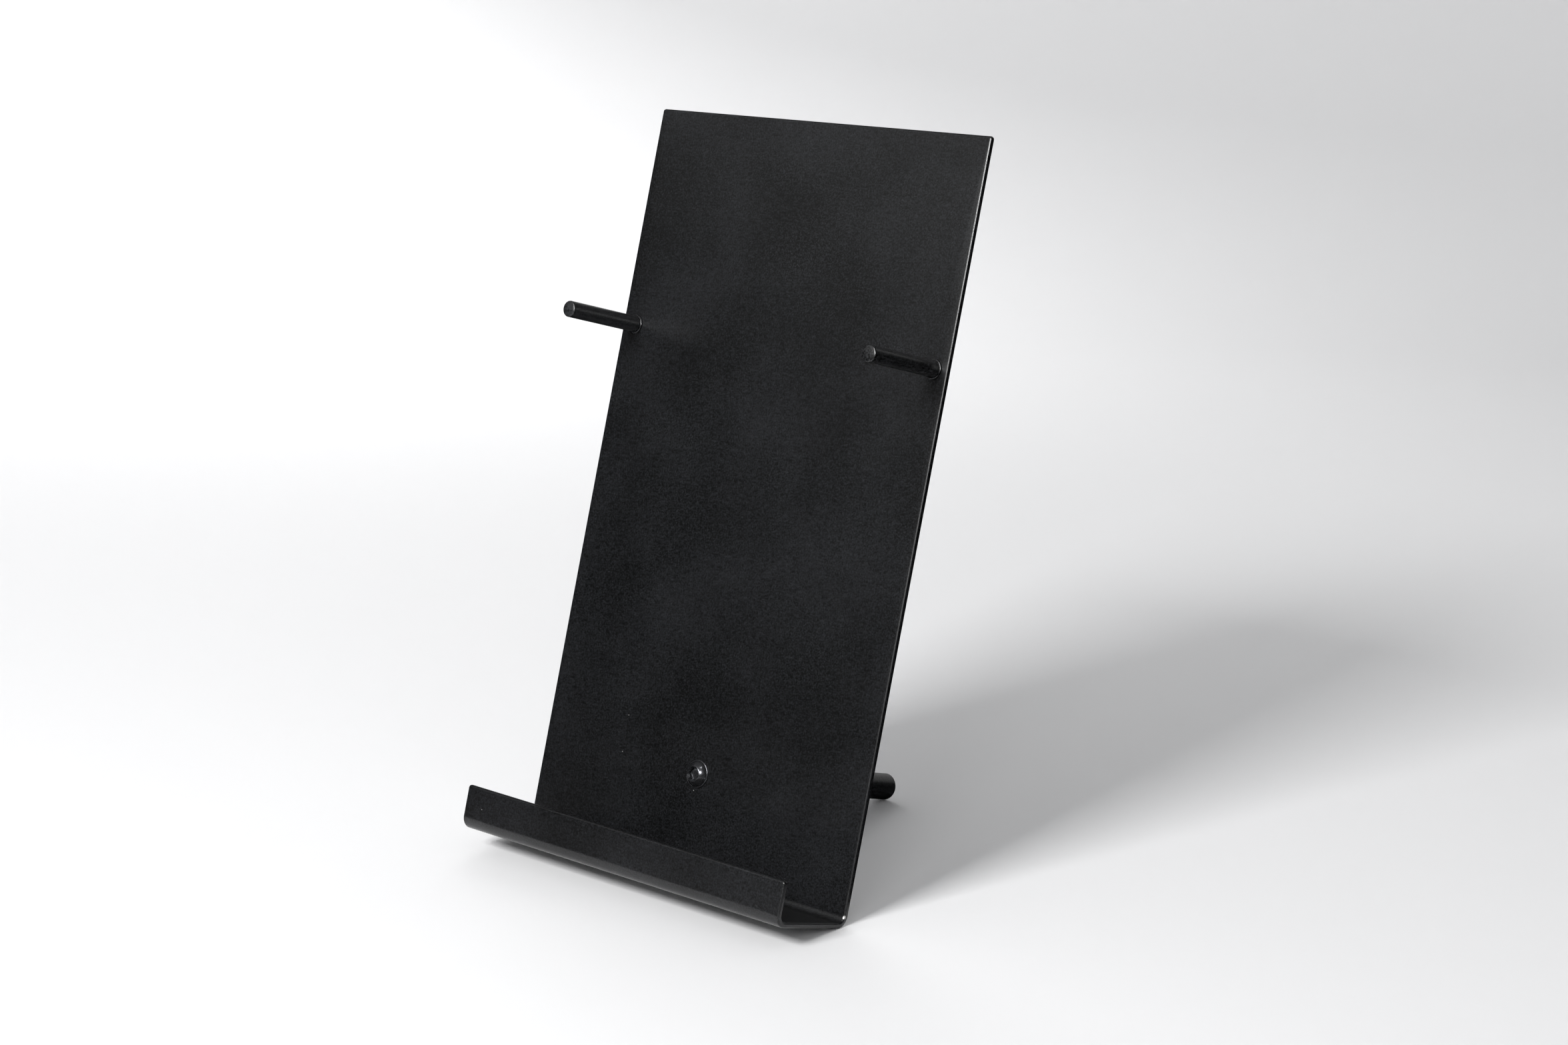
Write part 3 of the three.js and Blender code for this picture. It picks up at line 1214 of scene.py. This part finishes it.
@dataclass(frozen=True)
class Lamp:
    """A rectangular soft light, hung at a place and turned to what it lights."""

    name: str
    place: tuple[float, float, float]
    size: tuple[float, float]
    power: float
    aim: tuple[float, float, float] = STAND_MIDDLE
    lights_matt: bool = True
    lights_gloss: bool = True

    def build(self) -> bpy.types.Object:
        """Hangs the light.

        Returns:
            The light.
        """
        data = bpy.data.lights.new(self.name, "AREA")
        data.shape = "RECTANGLE"
        data.size, data.size_y = self.size
        data.energy = self.power
        lamp = bpy.data.objects.new(self.name, data)
        lamp.location = self.place
        lamp.rotation_mode = "QUATERNION"
        back = Vector(self.place) - Vector(self.aim)
        lamp.rotation_quaternion = back.to_track_quat("Z", "Y")
        lamp.visible_camera = False
        lamp.visible_diffuse = self.lights_matt
        lamp.visible_glossy = self.lights_gloss
        bpy.context.scene.collection.objects.link(lamp)
        return lamp


@dataclass
class Studio:
    """A pale floor that sweeps up into a wall all round, soft lights and the camera.

    Attributes:
        mirrored_middle: The middle of the round of floor that glossy faces reflect.
        mirrored_radius: The radius of that round.
        mirrored_lift: How far it lies above the rest of the floor.
        ambient: The strength of the even light from all round.
        camera_azimuth: The camera's turn round the stand, in degrees.
        camera_elevation: How far the camera looks down, in degrees.
        camera_roll: The camera's turn round its own line of sight, in degrees.
    """

    mirrored_middle: tuple[float, float] = (0.0, -0.28)
    mirrored_radius: float = 0.27
    mirrored_lift: float = 0.02 * MM
    floor_radius: float = 1.1
    sweep_radius: float = 0.9
    sweep_steps: int = 15
    wall_height: float = 2.2
    room_sides: int = 128
    floor_colour: tuple[float, float, float] = (0.8, 0.8, 0.805)
    floor_roughness: float = 0.9
    floor_specular: float = 0.2
    ambient: float = 0.25
    ambient_colour: tuple[float, float, float] = (0.98, 0.99, 1.0)
    lamps: tuple[Lamp, ...] = (
        Lamp("key", place=(0.0, -1.23, 0.99), size=(0.5, 0.4), power=25.0),
        Lamp("second", place=(0.72, -1.3, 0.74), size=(0.3, 0.3), power=2.5, lights_gloss=False),
        Lamp(
            "left_window",
            place=(-1.0, 0.75, 0.75),
            size=(0.9, 0.7),
            power=5.0,
            aim=(-0.8, -0.1, 0.0),
            lights_gloss=False,
        ),
        Lamp(
            "backdrop",
            place=(-1.3, 0.5, 1.0),
            size=(0.8, 0.6),
            power=4.0,
            aim=(-1.55, 1.05, 0.15),
            lights_gloss=False,
        ),
        Lamp("panel_card", place=(-0.62, -0.83, 0.95), size=(1.3, 0.9), power=1.25, lights_matt=False),
        Lamp("rim_card", place=(0.73, -1.05, 0.79), size=(0.14, 0.14), power=21.0, lights_matt=False),
        Lamp("top_card", place=(0.3, -0.35, 1.35), size=(0.12, 0.12), power=3.0, lights_matt=False),
        Lamp("ceiling_card", place=(-0.6, -0.2, 1.4), size=(1.4, 1.2), power=1.3, lights_matt=False),
        Lamp("back_card", place=(-0.35, 1.6, 0.55), size=(2.4, 1.0), power=3.8, lights_matt=False),
    )
    lens: float = 68.47
    camera_place: tuple[float, float, float] = (0.70252, -0.76414, 0.36799)
    camera_azimuth: float = 42.023
    camera_elevation: float = 13.330
    camera_roll: float = -0.298
    nearest: float = 0.05
    farthest: float = 20.0

    def build(self) -> None:
        """Makes the floor, the lights, the world and the camera."""
        self._room()
        for lamp in self.lamps:
            lamp.build()
        self._world()
        self._camera()
        bpy.context.scene.view_settings.view_transform = "Standard"
        LOG.info("studio: %d lamps", len(self.lamps))

    def _room(self) -> None:
        """Makes the round of floor that gloss reflects, and the room, which it doesn't show."""
        paint = self._paint()
        table = self._ring("table_floor", [(0.0, 0.0), (self.mirrored_radius, 0.0)], paint)
        table.location = (*self.mirrored_middle, 0.0)
        rise = []
        for step in range(self.sweep_steps + 1):
            angle = math.pi / 2 * step / self.sweep_steps
            out = self.floor_radius + self.sweep_radius * math.sin(angle)
            rise.append((out, self.sweep_radius * (1 - math.cos(angle))))
        wall = (self.floor_radius + self.sweep_radius, self.wall_height)
        room = self._ring("room_sweep", [(0.0, 0.0), *rise, wall], paint)
        room.location.z = -self.mirrored_lift
        room.visible_glossy = False

    def _ring(
        self, name: str, section: list[tuple[float, float]], paint: bpy.types.Material
    ) -> bpy.types.Object:
        """Spins a section of radius and height points into a surface round the stand.

        Args:
            name: The surface's name.
            section: The points.
            paint: Its material.

        Returns:
            The surface, whose faces look up and inwards.
        """
        sides = self.room_sides
        corners, faces = [], []
        for radius, height in section:
            for side in range(sides):
                angle = 2 * math.pi * side / sides
                corners.append((radius * math.cos(angle), radius * math.sin(angle), height))
        for ring in range(len(section) - 1):
            for side in range(sides):
                after = (side + 1) % sides
                low, high = ring * sides, (ring + 1) * sides
                faces.append((low + side, high + side, high + after, low + after))
        mesh = bpy.data.meshes.new(name)
        mesh.from_pydata(corners, [], faces)
        mesh.validate()
        mesh.shade_smooth()
        mesh.materials.append(paint)
        surface = bpy.data.objects.new(name, mesh)
        bpy.context.scene.collection.objects.link(surface)
        return surface

    def _paint(self) -> bpy.types.Material:
        """Makes the pale matt paper of the floor and wall.

        Returns:
            The material.
        """
        made = bpy.data.materials.new("pale_paper")
        made.use_nodes = True
        shader = made.node_tree.nodes["Principled BSDF"]
        shader.inputs["Base Color"].default_value = (*self.floor_colour, 1.0)
        shader.inputs["Roughness"].default_value = self.floor_roughness
        shader.inputs["Specular IOR Level"].default_value = self.floor_specular
        return made

    def _world(self) -> None:
        """Gives the room its even light, which matt surfaces take and glossy ones don't show."""
        world = bpy.data.worlds.new("room_light")
        bpy.context.scene.world = world
        world.use_nodes = True
        light = world.node_tree.nodes["Background"]
        light.inputs["Color"].default_value = (*self.ambient_colour, 1.0)
        light.inputs["Strength"].default_value = self.ambient
        world.cycles_visibility.glossy = False

    def _camera(self) -> None:
        """Sets up the camera."""
        data = bpy.data.cameras.new("camera")
        data.lens = self.lens
        data.clip_start, data.clip_end = self.nearest, self.farthest
        camera = bpy.data.objects.new("camera", data)
        camera.location = self.camera_place
        turn = Matrix.Rotation(math.radians(self.camera_azimuth), 3, "Z")
        tilt = Matrix.Rotation(math.radians(90 - self.camera_elevation), 3, "X")
        roll = Matrix.Rotation(math.radians(self.camera_roll), 3, "Z")
        camera.rotation_euler = (turn @ tilt @ roll).to_euler()
        bpy.context.scene.collection.objects.link(camera)
        bpy.context.scene.camera = camera


def main() -> None:
    """Builds the stand and its studio."""
    logging.basicConfig(level=logging.INFO, format="%(message)s")
    stance = Stance(frame["joints"])
    upright = stance.upright(FoldedSheet.leg_hole[0])
    # The sheet coat gets a bright steel spot at the tray's right corner, painted in as a highlight.
    corner = upright @ Vector((FoldedSheet.width / 2, 0.0, FoldedSheet.worn_height))
    sheet_coat = PowderCoat("sheet_powder_coat", worn_place=tuple(corner))
    bar_coat = PowderCoat("bar_powder_coat", colour=BAR_BLACK, peel_size=BAR_PEEL)
    washer_coat = PowderCoat("washer_coat", roughness=WASHER_ROUGHNESS, dust_size=0.0)
    FoldedSheet(upright, sheet_coat.build()).build()
    finishes = {
        Bar: (bar_coat.build(), Slot.BAR),
        Washer: (washer_coat.build(), Slot.WASHER),
        ButtonScrew: (BlackOxide("black_oxide").build(), Slot.SCREW),
    }
    Fixings(stance, Lathe(), finishes).build()
    Studio().build()


if __name__ == "__main__":
    main()
